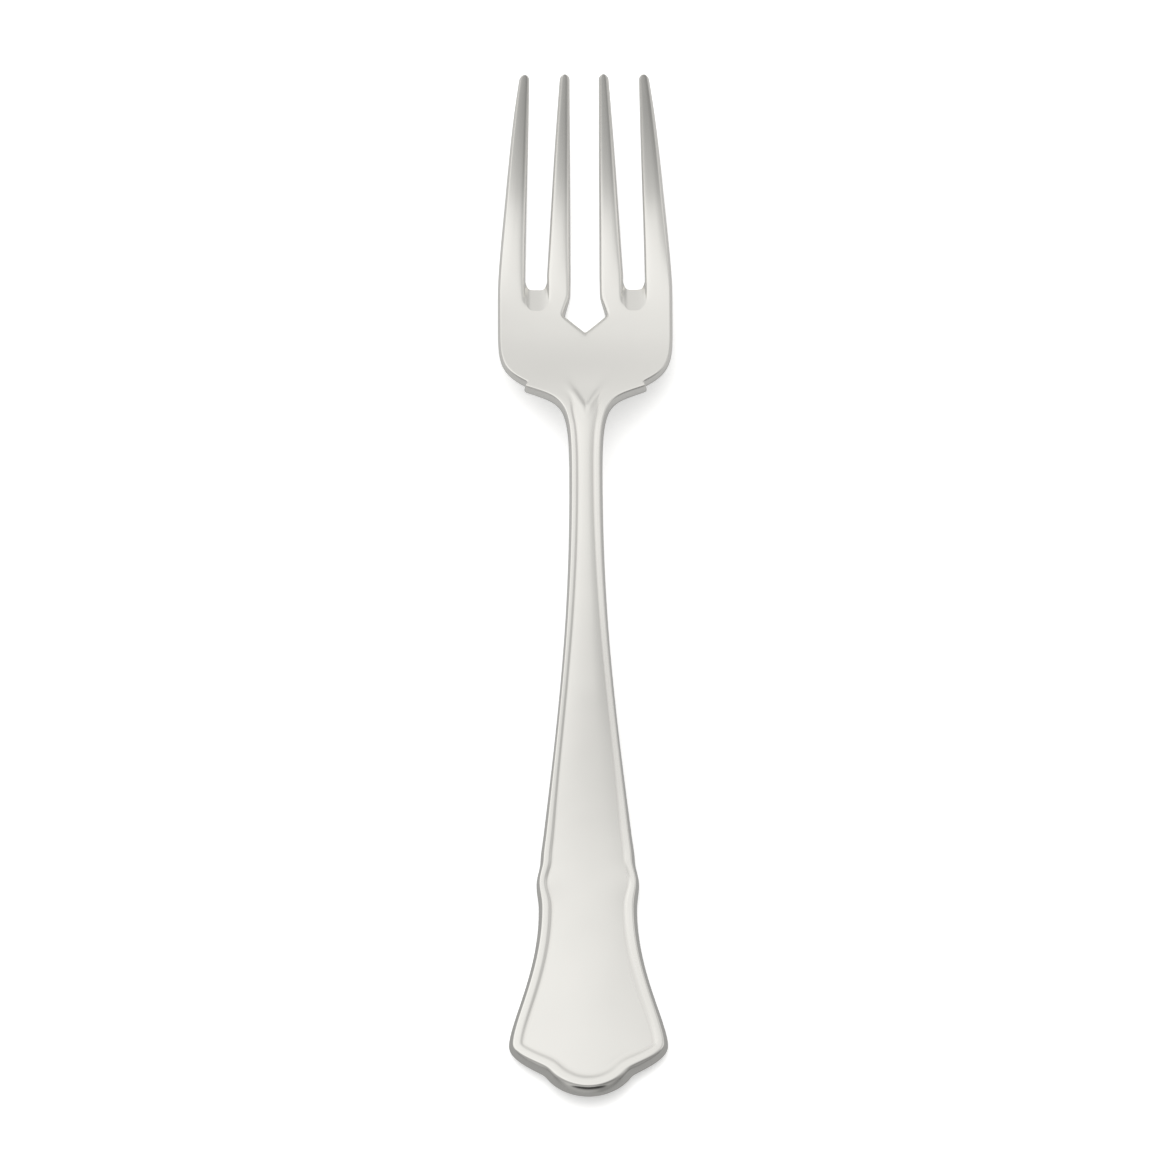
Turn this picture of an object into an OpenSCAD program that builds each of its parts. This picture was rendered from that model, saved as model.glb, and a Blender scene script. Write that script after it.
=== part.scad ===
// Fish fork: one piece of metal with a broad dished bowl, four tines and a threaded lobed handle.
// The tine tips point along +Y, the hollow of the bowl faces +Z and the fork rests on Z = 0.
// Sizes are in millimetres. Places along the fork are distances from the handle end.
// The zones meet face to face on shared sections, so together they read as one piece.

/* [Overall] */

// Length from the handle end to the tine tips
overall_length = 180; // [172:1:190]

/* [Bowl and tines] */

// Width over the bowl
head_width = 28.4; // [27:0.2:31]
// Length from the lip under the bowl to the tine tips
head_length = 56.2; // [54:0.2:59]
// Width over the lips at the foot of the bowl
lip_width = 19.4; // [17:0.2:21]
// Height of the notch above each lip
notch_height = 1.2; // [0.8:0.1:1.6]
// Length of the flare from the narrowest place of the neck to the lips
flare_length = 16; // [14:0.5:18]
// Length from the widest place of the bowl to the tine tips
widest_length = 45; // [43:0.5:47]
// Height of the sides of the bowl above its middle
bowl_depth = 0.6; // [0.3:0.1:1.2]
// Depth of the pointed hollow at the foot of the bowl
hollow_depth = 0.3; // [0.2:0.05:0.5]
// Distance from the point of that hollow to the lips
hollow_drop = 4.4; // [3:0.2:5.6]
// Half of the angle at that point
hollow_angle = 25; // [20:1:30]
// Distance over which that hollow runs out into the bowl
hollow_length = 10; // [8:0.5:14]
// Width of the slopes on the sides of that hollow
hollow_side = 1.3; // [0.9:0.1:1.7]
// Width over the tips of the outer tines
tip_span = 21; // [19.6:0.2:23]
// Width of each tine before its rounded tip
tine_tip_width = 1.6; // [1.3:0.1:1.9]
// Length of the tines above the roots of the gaps
tine_length = 32.5; // [31.5:0.1:33.4]
// Length over which the outer sides run in to the tips
taper_length = 35.5; // [34:0.5:38]
// Width of the rounded edges beside the gaps
edge_round = 0.5; // [0.3:0.05:0.6]

/* [Gaps between the tines] */

// Width of the middle gap between its straight sides
middle_gap_width = 4.7; // [4.5:0.1:5.3]
// Length of the middle gap from its pointed root to the tips
middle_gap_length = 44.4; // [43:0.2:45.4]
// Width of the middle gap at the corners of its spade-shaped root
spade_width = 7.1; // [6.4:0.1:7.8]
// Width of each outer gap at its root
outer_gap_width = 3.5; // [3.2:0.1:3.8]
// Length of each outer gap, with its sloping root, to the tips
outer_gap_length = 39.7; // [38.6:0.1:40.6]
// Length of the slope that ends each outer gap
outer_root_slope = 5; // [3.6:0.1:5.4]
// Distance from the middle of the fork to the middle of each outer gap at its root
outer_gap_offset = 7.95; // [7.6:0.05:8.2]
// How much wider each outer root is on top than at the back, on each side
root_bevel = 0.3; // [0.1:0.05:0.4]
// Length of the slope that ends the middle gap
spade_slope = 1.6; // [1:0.1:2]
// How much wider the spade-shaped root is on top than at the back, on each side
spade_bevel = 0.5; // [0.2:0.05:0.7]

/* [Handle] */

// Width of the narrowest place of the neck
neck_width = 5.4; // [4.8:0.1:6.4]
// Width over the two shoulders at the handle end
end_width = 25.7; // [23:0.1:28]
// Distance from the handle end to its widest place
end_shoulder = 9.2; // [8.4:0.1:10]
// Radius of the round lobe at the handle end
lobe_radius = 8.2; // [7.6:0.1:9]
// Half of the angle that the lobe takes up
lobe_angle = 60; // [52:1:64]
// Width of the waist above the end
waist_width = 15.9; // [14.8:0.1:17]
// Distance from the handle end to the waist
waist_place = 33.8; // [31:0.1:35]
// Width of the knuckle above the waist
knuckle_width = 16.6; // [16:0.1:17.8]
// Distance from the waist to the knuckle
knuckle_rise = 4.2; // [3.8:0.1:5]
// Width of the ledge above the knuckle
ledge_width = 15.3; // [14.6:0.1:15.8]
// Distance from the knuckle to the ledge
ledge_rise = 4; // [3.4:0.1:5]
// Width of the shaft where it leaves the ledge
shaft_width = 14.3; // [13.4:0.1:14.5]
// Distance from the ledge to that place of the shaft
shaft_rise = 4.4; // [3.8:0.1:5.4]

/* [Thread border] */

// Distance from the edge to the groove at the handle end
thread_width_end = 2.2; // [1.8:0.1:2.5]
// Distance from the edge to the groove along the neck
thread_width_neck = 1.4; // [1.1:0.1:1.7]
// Height of the thread above the groove
thread_relief = 0.26; // [0.2:0.02:0.4]
// Distance that the thread runs on past the lips
thread_reach = 0; // [0:0.1:1.5]
// Length over which the thread fades out there
thread_fade = 5; // [4:0.5:7]
// Height of the middle of the handle above the edge of its panel
panel_crown = 0.2; // [0:0.05:0.4]

/* [Thickness] */

// Thickness at the handle end
end_thickness = 3.4; // [2.8:0.1:4]
// Thickness in the middle of the handle
handle_thickness = 2.8; // [2.4:0.1:3.4]
// Thickness of the neck
neck_thickness = 3.3; // [2.8:0.1:4]
// Thickness of the bowl
bowl_thickness = 2.1; // [1.7:0.1:2.6]
// Thickness of the tine tips
tip_thickness = 1.3; // [1:0.1:1.7]

/* [Side view] */

// Height of the back of the neck above the table
arch_height = 8; // [6:0.2:10]
// Distance from the highest place of the back to the lips
arch_drop = 11; // [9:0.5:13]
// Length from the lowest place of the bowl to the tine tips
belly_length = 33; // [31:0.5:36]
// Height of the backs of the tine tips above the table
tip_height = 8; // [6:0.2:10]
// Height of the back of the handle end above the table
end_rise = 1.5; // [0.6:0.1:2.4]
// Start of the flat land on which the handle rests
rest_start = 14; // [12:0.5:16]
// Length of that flat land
rest_length = 10; // [6:0.5:12]

/* [Hidden] */

silver = [0.80, 0.79, 0.76];

// Places along the fork
lip_place = overall_length - head_length;
neck_place = lip_place - flare_length;
arch_place = lip_place - arch_drop;
hollow_place = lip_place - hollow_drop;
thread_end = lip_place + thread_reach;
knuckle_place = waist_place + knuckle_rise;
ledge_place = knuckle_place + ledge_rise;
shaft_place = ledge_place + shaft_rise;
belly_place = overall_length - belly_length;
bowl_side_place = overall_length - widest_length;
tine_place = overall_length - tine_length;
taper_place = overall_length - taper_length;
outer_root = overall_length - outer_gap_length;
outer_root_back = outer_root + outer_root_slope;
middle_root = overall_length - middle_gap_length;
middle_root_back = middle_root + spade_slope;

half_head = head_width / 2;
half_spade = spade_width / 2;
half_gap = outer_gap_width / 2;
half_middle = middle_gap_width / 2;
tip_round = tine_tip_width / 2;

// Basic curves

function lerp(a, b, t) = a + (b - a) * t;
function heading(angle) = [cos(angle), sin(angle)];
function ease(a, b, s) = let (t = max(0, min(1, (s - a) / (b - a)))) t * t * (3 - 2 * t);

// A point on a curve that leaves and arrives at the given angles and holds each for its reach
function bend(from, a0, reach0, to, a1, reach1, t) =
    let (p = from + reach0 * heading(a0), q = to - reach1 * heading(a1), u = 1 - t)
    u * u * u * from + 3 * u * u * t * p + 3 * u * t * t * q + t * t * t * to;
// The whole curve in a count of steps, without its last point; pull gives the two reaches as shares of its span
function curve(from, a0, to, a1, pull, count) =
    let (span = norm(to - from))
    [for (i = [0:count - 1]) bend(from, a0, pull[0] * span, to, a1, pull[1] * span, i / count)];

// A smooth line through stations of [place, value, slope]
function station(list, s, i = 0) = i >= len(list) - 2 || s < list[i + 1][0] ? i : station(list, s, i + 1);
function along(list, s) =
    let (i = station(list, s), a = list[i], b = list[i + 1], h = b[0] - a[0], t = (s - a[0]) / h, u = 1 - t)
    a[1] * (1 + 2 * t) * u * u + a[2] * h * t * u * u + b[1] * (3 - 2 * t) * t * t - b[2] * h * u * t * t;

// Side view

// Slope of the back at the two ends of the fork, compared with an even slope
end_curl = 1.9;
tip_curl = 1.75;
back_line = [
    [0, end_rise, -end_curl * end_rise / rest_start],
    [rest_start, 0, 0],
    [rest_start + rest_length, 0, 0],
    [arch_place, arch_height, 0],
    [belly_place, 0, 0],
    [overall_length, tip_height, tip_curl * tip_height / belly_length]
];
thickness_line = [
    [0, end_thickness, 0],
    [waist_place, handle_thickness, 0],
    [arch_place, neck_thickness, 0],
    [middle_root, bowl_thickness, 0],
    [overall_length, tip_thickness, 0]
];
function thickness(s) = along(thickness_line, s);
function dish(p) = bowl_depth * ease(neck_place, middle_root, p[1]) * (p[0] / half_head) * (p[0] / half_head);
function back_height(p) = along(back_line, p[1]) + dish(p);
function top_height(p) = back_height(p) + thickness(p[1]);
function hollow(p) =
    let (inside = (p[1] - hollow_place) * tan(hollow_angle) - abs(p[0]))
    hollow_depth * ease(0, hollow_side, inside) * (1 - ease(hollow_place, hollow_place + hollow_length, p[1]));
function placed(p, z) = [p[0], p[1] - overall_length / 2, z];

// Thread border: columns counted in from the edge

// Distance of each column from the edge, in thread widths
border_steps = [0, 0.08, 0.25, 0.5, 0.78, 1, 1.22];
// Drop of the top and rise of the back at each column, as shares of the thickness
edge_top = [0.28, 0.13, 0.035, 0, 0, 0, 0];
edge_back = [0.25, 0.1, 0.02, 0, 0, 0, 0];
// Drop from the crest of the thread at each column, as shares of the relief
border_drop = [0, 0, 0, 0, 0.3, 1, 0.4];
border_last = len(border_steps) - 1;

// Width of the thread at the waist, the knuckle and the ledge, as shares of its width at the end
thread_shares = [0.92, 0.74, 0.95];
thread_line = [
    [0, thread_width_end, 0],
    [waist_place, thread_shares[0] * thread_width_end, 0],
    [knuckle_place, thread_shares[1] * thread_width_end, 0],
    [ledge_place, thread_shares[2] * thread_width_end, 0],
    [neck_place, thread_width_neck, 0],
    [overall_length, thread_width_neck, 0]
];
function thread_width(s) = along(thread_line, s);
function thread_left(s) = 1 - ease(thread_end - thread_fade, thread_end, s);
function border_top(p, k) =
    top_height(p) - thickness(p[1]) * edge_top[k] - thread_relief * thread_left(p[1]) * border_drop[k];
function border_back(p, k) = back_height(p) + thickness(p[1]) * edge_back[k];
function panel_top(p, share) =
    border_top(p, border_last) + panel_crown * thread_left(p[1]) * (1 - share * share) - hollow(p);

// Direction into the metal, square to the edge; across the fork at a cut and along it at the end
function inward(edge, i) =
    i == 0 ? (edge[0][0] == 0 ? [0, 1] : [-1, 0])
    : i == len(edge) - 1 ? [-1, 0]
    : let (d = edge[i + 1] - edge[i - 1]) [-d[1], d[0]] / norm(d);
function border(edge, i) =
    [for (step = border_steps) edge[i] + inward(edge, i) * thread_width(edge[i][1]) * step];

// Outline of the right half, from the handle end to the side of the bowl

cusp = [lobe_radius * sin(lobe_angle), lobe_radius * (1 - cos(lobe_angle))];
end_corner = [end_width / 2, end_shoulder];
waist = [waist_width / 2, waist_place];
knuckle = [knuckle_width / 2, knuckle_place];
ledge = [ledge_width / 2, ledge_place];
shaft = [shaft_width / 2, shaft_place];
neck_point = [neck_width / 2, neck_place];
lip = [lip_width / 2, lip_place];
lip_top = lip + notch_height * [0.125, 1];
bowl_side = [half_head, bowl_side_place];

// Directions of the outline, in degrees from straight across the fork
ahead = 90;
cusp_heading = 30;
ledge_heading = 92;
shaft_heading = 97;
lip_heading = 23;
notch_heading = 34;

handle_edge = concat(
    [for (i = [0:8]) [0, lobe_radius] + lobe_radius * heading(-90 + lobe_angle * i / 9)],
    curve(cusp, cusp_heading, end_corner, ahead, [0.416, 0.312], 8),
    curve(end_corner, ahead, waist, ahead, [0.177, 0.451], 12),
    curve(waist, ahead, knuckle, ahead, [0.38, 0.332], 4),
    curve(knuckle, ahead, ledge, ledge_heading, [0.395, 0.296], 5),
    curve(ledge, ledge_heading, shaft, shaft_heading, [0.361, 0.361], 5),
    curve(shaft, shaft_heading, neck_point, ahead, [0.419, 0.359], 16)
);
foot_edge = concat(
    curve(neck_point, ahead, lip, lip_heading, [0.79, 0.345], 18),
    curve(lip, lip_heading, lip_top, notch_heading, [0.66, 0.66], 5),
    curve(lip_top, notch_heading, bowl_side, ahead, [0.367, 0.55], 10)
);

// Share of the outline in each zone
neck_start = len(handle_edge) - 6;
foot_start = 5;
handle_zone = [for (i = [0:neck_start]) handle_edge[i]];
neck_zone = concat(
    [for (i = [neck_start:len(handle_edge) - 1]) handle_edge[i]],
    [for (i = [0:foot_start]) foot_edge[i]]
);
function bowl_zone(root) = concat(
    [for (i = [foot_start:len(foot_edge) - 1]) foot_edge[i]],
    [for (t = [0, 0.33, 0.67, 1]) [half_head, lerp(bowl_side_place, root, t)]]
);

// Sections of the handle and the neck

panel_steps = [0.6, 0.28, 0];
function both_sides(half) = concat(half, [for (i = [len(half) - 2:-1:0]) [-half[i][0], half[i][1], half[i][2]]]);
function panel_plan(inner) = [for (u = panel_steps) [inner[0] * u, inner[1]]];
function shaft_top(edge) = [for (i = [0:len(edge) - 1])
    let (rim = border(edge, i), panel = panel_plan(rim[border_last]))
    both_sides(concat(
        [for (k = [0:border_last]) placed(rim[k], border_top(rim[k], k))],
        [for (k = [0:len(panel) - 1]) placed(panel[k], panel_top(panel[k], panel_steps[k]))]
    ))];
function shaft_back(edge) = [for (i = [0:len(edge) - 1])
    let (rim = border(edge, i), panel = panel_plan(rim[border_last]))
    both_sides(concat(
        [for (k = [0:border_last]) placed(rim[k], border_back(rim[k], k))],
        [for (p = panel) placed(p, back_height(p))]
    ))];

// Sections of the bowl below the gaps

gap_share = outer_gap_offset / (half_head - thread_width_neck * border_steps[border_last]);
palm_steps = [0.84, gap_share + 0.05, gap_share + 0.02, gap_share, gap_share - 0.02, gap_share - 0.05,
    0.42, 0.3, 0.2, 0.1, 0.05, 0.02, 0];
gap_column = border_last + 4;
middle_column = border_last + len(palm_steps);

// The rows bend from straight across at the neck to the line that joins the roots of the gaps
function palm_plan(edge, i, outer_foot, middle_foot) =
    let (inner = border(edge, i)[border_last], start = edge[0][1])
    let (spine = lerp(start, middle_foot, (inner[1] - start) / (outer_foot - start)))
    [for (u = palm_steps) [inner[0] * u, u >= gap_share ? inner[1] : lerp(spine, inner[1], u / gap_share)]];
function palm_top(edge, outer_foot, middle_foot) = [for (i = [0:len(edge) - 1])
    let (rim = border(edge, i), panel = palm_plan(edge, i, outer_foot, middle_foot))
    both_sides(concat(
        [for (k = [0:border_last]) placed(rim[k], border_top(rim[k], k))],
        [for (k = [0:len(panel) - 1]) placed(panel[k], panel_top(panel[k], palm_steps[k]))]
    ))];
function palm_back(edge, outer_foot, middle_foot) = [for (i = [0:len(edge) - 1])
    let (rim = border(edge, i), panel = palm_plan(edge, i, outer_foot, middle_foot))
    both_sides(concat(
        [for (k = [0:border_last]) placed(rim[k], border_back(rim[k], k))],
        [for (p = panel) placed(p, back_height(p))]
    ))];

// Sides of the tines and gaps, as distances from the middle of the fork

// Place of the middle station of the taper and its share of the narrowing
taper_middle = [0.437, 0.32];
outer_side_line = [
    [taper_place, half_head, -0.03],
    [lerp(taper_place, overall_length, taper_middle[0]), lerp(half_head, tip_span / 2, taper_middle[1]), -0.098],
    [overall_length, tip_span / 2, -0.19]
];
gap_outside_line = [
    [tine_place, outer_gap_offset + half_gap, -0.012],
    [overall_length, tip_span / 2 - tine_tip_width, -0.02]
];
gap_inside_line = [
    [tine_place, outer_gap_offset - half_gap, -0.06],
    [overall_length, half_middle + tine_tip_width, -0.09]
];
function outer_side(s) = s < taper_place ? half_head : along(outer_side_line, s);

// Edges of the gaps at their roots, from the foot at row 0 to the tines at the last row
root_rows = 8;
bent_rows = 6;
function outer_gap_edge(k, side, foot, half) =
    let (shoulder = [outer_gap_offset + side * half, lerp(foot, tine_place, 0.7)])
    let (top = [outer_gap_offset + side * half_gap, tine_place])
    k <= bent_rows
        ? bend([outer_gap_offset, foot], side > 0 ? 0 : 180, 0.8 * half, shoulder, 90, 0.45 * (shoulder[1] - foot),
            k / bent_rows)
        : lerp(shoulder, top, (k - bent_rows) / (root_rows - bent_rows));
function middle_gap_edge(k, foot, half) =
    let (corner = [half, foot + 1.04 * half], turn = corner + half * [0.01, 0.11])
    let (rise = [1.02 * half_middle, lerp(foot, tine_place, 0.78)], top = [half_middle, tine_place])
    k <= 3 ? lerp([0, foot], corner, [0, 0.35, 0.7, 0.95][k])
    : k == 4 ? turn
    : k <= 7 ? lerp(turn, rise, (k - 4) / 3)
    : top;

// Rounding beside a gap: distance of each column from the gap, and share of the full rounding
round_steps = edge_round * [0, 0.3, 1];
round_share = [1, 0.3, 0];
// Columns of an inner tine between its rounded edges, as shares of the way across
middle_steps = [0.12, 0.37, 0.63, 0.88];
function round_top(p, j, amount) = top_height(p) - amount * edge_top[0] * thickness(p[1]) * round_share[j];
function round_back(p, j, amount) = back_height(p) + amount * edge_back[0] * thickness(p[1]) * round_share[j];

// A row across an outer tine, from its outer side to its gap, and across an inner tine, from gap to gap
function outer_row(out, gap, scale, amount, top) =
    let (rim = [for (step = border_steps) out - [thread_width_neck * scale * step, 0]])
    let (side = [for (step = round_steps) gap + [step * scale, 0]])
    let (mid = lerp(rim[border_last], side[2], 0.5))
    concat(
        [for (k = [0:border_last]) placed(rim[k], top ? border_top(rim[k], k) : border_back(rim[k], k))],
        [placed(mid, top ? top_height(mid) : back_height(mid))],
        [for (j = [2:-1:0]) placed(side[j], top ? round_top(side[j], j, amount) : round_back(side[j], j, amount))]
    );
function inner_row(gap, middle, scale, amount, top) =
    let (way = (middle - gap) / norm(middle - gap))
    let (one = [for (step = round_steps) gap + way * step * scale])
    let (two = [for (step = round_steps) middle - way * step * scale])
    let (mids = [for (t = middle_steps) lerp(one[2], two[2], t)])
    concat(
        [for (j = [0:2]) placed(one[j], top ? round_top(one[j], j, amount) : round_back(one[j], j, amount))],
        [for (p = mids) placed(p, top ? top_height(p) : back_height(p))],
        [for (j = [2:-1:0]) placed(two[j], top ? round_top(two[j], j, amount) : round_back(two[j], j, amount))]
    );

// Rows of the roots above the palm, on the right
function outer_root_rows(foot, half, top) = [for (k = [1:root_rows])
    let (gap = outer_gap_edge(k, 1, foot, half))
    outer_row([outer_side(gap[1]), gap[1]], gap, 1, k / root_rows, top)];
function inner_root_rows(foot, half, middle_foot, middle_half, top) = [for (k = [1:root_rows])
    inner_row(outer_gap_edge(k, -1, foot, half), middle_gap_edge(k, middle_foot, middle_half), 1, k / root_rows, top)];

// Rows of the tines as [place, share of the width], with a round end in the last rows
tip_angles = [25, 45, 62, 76];
tine_steps = concat(
    [for (i = [0:11]) [lerp(tine_place, overall_length - tip_round, i / 11), 1]],
    [for (a = tip_angles) [overall_length - tip_round * (1 - sin(a) / sin(tip_angles[3])), cos(a)]]
);
function tine_pair(near, far, step) =
    let (mid = (near + far) / 2, half = (far - near) / 2 * step[1])
    [[mid + half, step[0]], [mid - half, step[0]]];
// The edges of a tine narrow with it where its width falls under one of these, so that they never meet
outer_full = 1.13 * (border_steps[border_last] * thread_width_neck + edge_round);
inner_full = 1.67 * 2 * edge_round;
function tine_scale(pair, full) = min(1, (pair[0][0] - pair[1][0]) / full);
function outer_tine_rows(top) = [for (step = tine_steps)
    let (pair = tine_pair(along(gap_outside_line, step[0]), outer_side(step[0]), step))
    outer_row(pair[0], pair[1], tine_scale(pair, outer_full), 1, top)];
function inner_tine_rows(top) = [for (step = tine_steps)
    let (pair = tine_pair(half_middle, along(gap_inside_line, step[0]), step))
    inner_row(pair[0], pair[1], tine_scale(pair, inner_full), 1, top)];

// Solids from rows of points: every row runs from right to left, and the rows follow the fork toward the tips

function numbered(rows, columns, base) = [for (i = [0:rows - 1]) [for (j = [0:columns - 1]) base + i * columns + j]];
function reversed(list) = [for (i = [len(list) - 1:-1:0]) list[i]];
function flipped(grid) = [for (row = grid) reversed(row)];
function column(grid, j) = [for (row = grid) row[j]];
function paired(a, b) = [for (i = [0:len(a) - 1]) [a[i], b[i]]];
function part_of(row, from, to) = [for (j = [from:to]) row[j]];
function sheet(grid) = [for (i = [0:len(grid) - 2], j = [0:len(grid[0]) - 2])
    let (a = grid[i][j], b = grid[i][j + 1], c = grid[i + 1][j + 1], d = grid[i + 1][j])
    each [if (a != b) [a, b, c], if (c != d) [a, c, d]]];
// Top, back and the two sides of a stretch of rows
function sleeve(top, back) = let (last = len(top[0]) - 1) concat(
    sheet(top),
    sheet(flipped(back)),
    sheet(paired(column(back, 0), column(top, 0))),
    sheet(paired(column(top, last), column(back, last)))
);
function start_cap(top, back) = sheet(paired(top[0], back[0]));
function end_cap(top, back) = let (last = len(top) - 1) sheet(paired(back[last], top[last]));
function other_side(rows) = [for (row = rows) [for (p = reversed(row)) [-p[0], p[1], p[2]]]];
function points_of(grids) = [for (grid = grids, row = grid, p = row) p];

module plate(top, back) {
    rows = len(top);
    columns = len(top[0]);
    top_ids = numbered(rows, columns, 0);
    back_ids = numbered(rows, columns, rows * columns);
    polyhedron(
        points = points_of([top, back]),
        faces = concat(sleeve(top_ids, back_ids), start_cap(top_ids, back_ids), end_cap(top_ids, back_ids))
    );
}

module handle() {
    top = shaft_top(handle_zone);
    back = shaft_back(handle_zone);
    rows = len(top);
    columns = len(top[0]);
    // The first row lies on the middle line, so its left half is its right half
    fold = [for (j = [0:columns - 1]) min(j, columns - 1 - j, border_last)];
    top_ids = concat([fold], [for (i = [1:rows - 1]) [for (j = [0:columns - 1]) i * columns + j]]);
    back_ids = [for (row = top_ids) [for (n = row) n + rows * columns]];
    color(silver)
        polyhedron(
            points = points_of([top, back]),
            faces = concat(sleeve(top_ids, back_ids), end_cap(top_ids, back_ids))
        );
}

module neck() {
    color(silver) plate(shaft_top(neck_zone), shaft_back(neck_zone));
}

module bowl() {
    top = palm_top(bowl_zone(outer_root), outer_root, middle_root);
    back = palm_back(bowl_zone(outer_root_back), outer_root_back, middle_root_back);
    outer_top = outer_root_rows(outer_root, half_gap + root_bevel, true);
    outer_back = outer_root_rows(outer_root_back, half_gap, false);
    inner_top = inner_root_rows(outer_root, half_gap + root_bevel, middle_root, half_spade, true);
    inner_back = inner_root_rows(outer_root_back, half_gap, middle_root_back, half_spade - spade_bevel, false);
    rows = len(top);
    columns = len(top[0]);
    // First and last column of the palm under each root, from right to left
    spans = [
        [0, gap_column],
        [gap_column, middle_column],
        [middle_column, 2 * middle_column - gap_column],
        [2 * middle_column - gap_column, 2 * middle_column]
    ];
    roots = [
        [outer_top, outer_back],
        [inner_top, inner_back],
        [other_side(inner_top), other_side(inner_back)],
        [other_side(outer_top), other_side(outer_back)]
    ];
    sizes = [for (span = spans) 2 * root_rows * (span[1] - span[0] + 1)];
    starts = [for (n = 0, at = 2 * rows * columns; n < 4; at = at + sizes[n], n = n + 1) at];
    top_ids = numbered(rows, columns, 0);
    back_ids = numbered(rows, columns, rows * columns);
    root_faces = [for (n = [0:3])
        let (from = spans[n][0], to = spans[n][1], wide = to - from + 1)
        let (root_top = concat([part_of(top_ids[rows - 1], from, to)], numbered(root_rows, wide, starts[n])))
        let (root_back = concat([part_of(back_ids[rows - 1], from, to)],
            numbered(root_rows, wide, starts[n] + root_rows * wide)))
        each concat(sleeve(root_top, root_back), end_cap(root_top, root_back))];
    color(silver)
        polyhedron(
            points = concat(points_of([top, back]), [for (root = roots) each points_of(root)]),
            faces = concat(sleeve(top_ids, back_ids), start_cap(top_ids, back_ids), root_faces)
        );
}

module tine_outer_right() {
    color(silver) plate(outer_tine_rows(true), outer_tine_rows(false));
}

module tine_inner_right() {
    color(silver) plate(inner_tine_rows(true), inner_tine_rows(false));
}

module tine_outer_left() {
    color(silver) plate(other_side(outer_tine_rows(true)), other_side(outer_tine_rows(false)));
}

module tine_inner_left() {
    color(silver) plate(other_side(inner_tine_rows(true)), other_side(inner_tine_rows(false)));
}

handle();
neck();
bowl();
tine_outer_left();
tine_inner_left();
tine_inner_right();
tine_outer_right();
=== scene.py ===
import math

import bmesh
import bpy
from mathutils import Matrix, Vector


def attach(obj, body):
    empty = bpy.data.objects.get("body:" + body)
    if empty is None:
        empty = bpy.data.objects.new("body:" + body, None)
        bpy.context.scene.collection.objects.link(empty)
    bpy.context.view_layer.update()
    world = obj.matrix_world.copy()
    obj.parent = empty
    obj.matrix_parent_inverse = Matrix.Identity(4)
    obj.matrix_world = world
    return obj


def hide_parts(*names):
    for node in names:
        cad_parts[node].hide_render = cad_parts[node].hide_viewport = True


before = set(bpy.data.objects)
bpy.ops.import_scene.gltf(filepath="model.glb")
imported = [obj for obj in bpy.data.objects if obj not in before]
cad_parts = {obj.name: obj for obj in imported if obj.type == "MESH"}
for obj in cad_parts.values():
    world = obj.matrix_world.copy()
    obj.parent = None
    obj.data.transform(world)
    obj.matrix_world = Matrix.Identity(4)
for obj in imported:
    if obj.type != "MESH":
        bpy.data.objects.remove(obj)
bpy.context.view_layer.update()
bpy.ops.object.select_all(action="DESELECT")
print("frame loaded,", len(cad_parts), "zones of one fork")

mm = 0.001

# Sizes of the fork in millimetres and degrees, as in the part's source.
# Places along the fork are distances from the handle end.
fork = {
    "length": 180.0,
    "headWidth": 28.4,
    "headLength": 56.2,
    "lipWidth": 19.4,
    "notchHeight": 1.2,
    "flareLength": 16.0,
    "widestLength": 45.0,
    "bowlDepth": 0.6,
    "hollowDepth": 0.3,
    "hollowDrop": 4.4,
    "hollowAngle": 25.0,
    "hollowLength": 10.0,
    "hollowSide": 1.3,
    "tipSpan": 21.0,
    "tipWidth": 1.6,
    "tineLength": 32.5,
    "taperLength": 35.5,
    "edgeRound": 0.5,
    "middleGapWidth": 4.7,
    "middleGapLength": 44.4,
    "spadeWidth": 7.1,
    "spadeSlope": 1.6,
    "spadeBevel": 0.5,
    "outerGapWidth": 3.5,
    "outerGapLength": 39.7,
    "outerRootSlope": 5.0,
    "outerGapOffset": 7.95,
    "rootBevel": 0.3,
    "neckWidth": 5.4,
    "endWidth": 25.7,
    "endShoulder": 9.2,
    "lobeRadius": 8.2,
    "lobeAngle": 60.0,
    "waistWidth": 15.9,
    "waistPlace": 33.8,
    "knuckleWidth": 16.6,
    "knuckleRise": 4.2,
    "ledgeWidth": 15.3,
    "ledgeRise": 4.0,
    "shaftWidth": 14.3,
    "shaftRise": 4.4,
    "threadWidthEnd": 2.2,
    "threadWidthNeck": 1.4,
    "threadRelief": 0.26,
    "threadReach": 0.0,
    "threadFade": 5.0,
    "endThickness": 3.4,
    "handleThickness": 2.8,
    "neckThickness": 3.3,
    "bowlThickness": 2.1,
    "tipThickness": 1.3,
    "archHeight": 8.0,
    "archDrop": 11.0,
    "bellyLength": 33.0,
    "tipHeight": 8.0,
    "endRise": 1.5,
    "restStart": 14.0,
    "restLength": 10.0,
}

# How far the roots of the gaps have sloped away at the back, in slopes of the source
rootSlopeShare = {"outer": 0.94, "middle": 0.45}

# Places worked out from the sizes
total = fork["length"]
lipPlace = total - fork["headLength"]
neckPlace = lipPlace - fork["flareLength"]
archPlace = lipPlace - fork["archDrop"]
hollowPlace = lipPlace - fork["hollowDrop"]
threadEnd = lipPlace + fork["threadReach"]
cuspPlace = fork["lobeRadius"] * (1 - math.cos(math.radians(fork["lobeAngle"])))
knucklePlace = fork["waistPlace"] + fork["knuckleRise"]
ledgePlace = knucklePlace + fork["ledgeRise"]
shaftPlace = ledgePlace + fork["shaftRise"]
bellyPlace = total - fork["bellyLength"]
widestPlace = total - fork["widestLength"]
tinePlace = total - fork["tineLength"]
taperPlace = total - fork["taperLength"]
outerRoot = total - fork["outerGapLength"]
outerRootBack = outerRoot + rootSlopeShare["outer"] * fork["outerRootSlope"]
middleRoot = total - fork["middleGapLength"]
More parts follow.
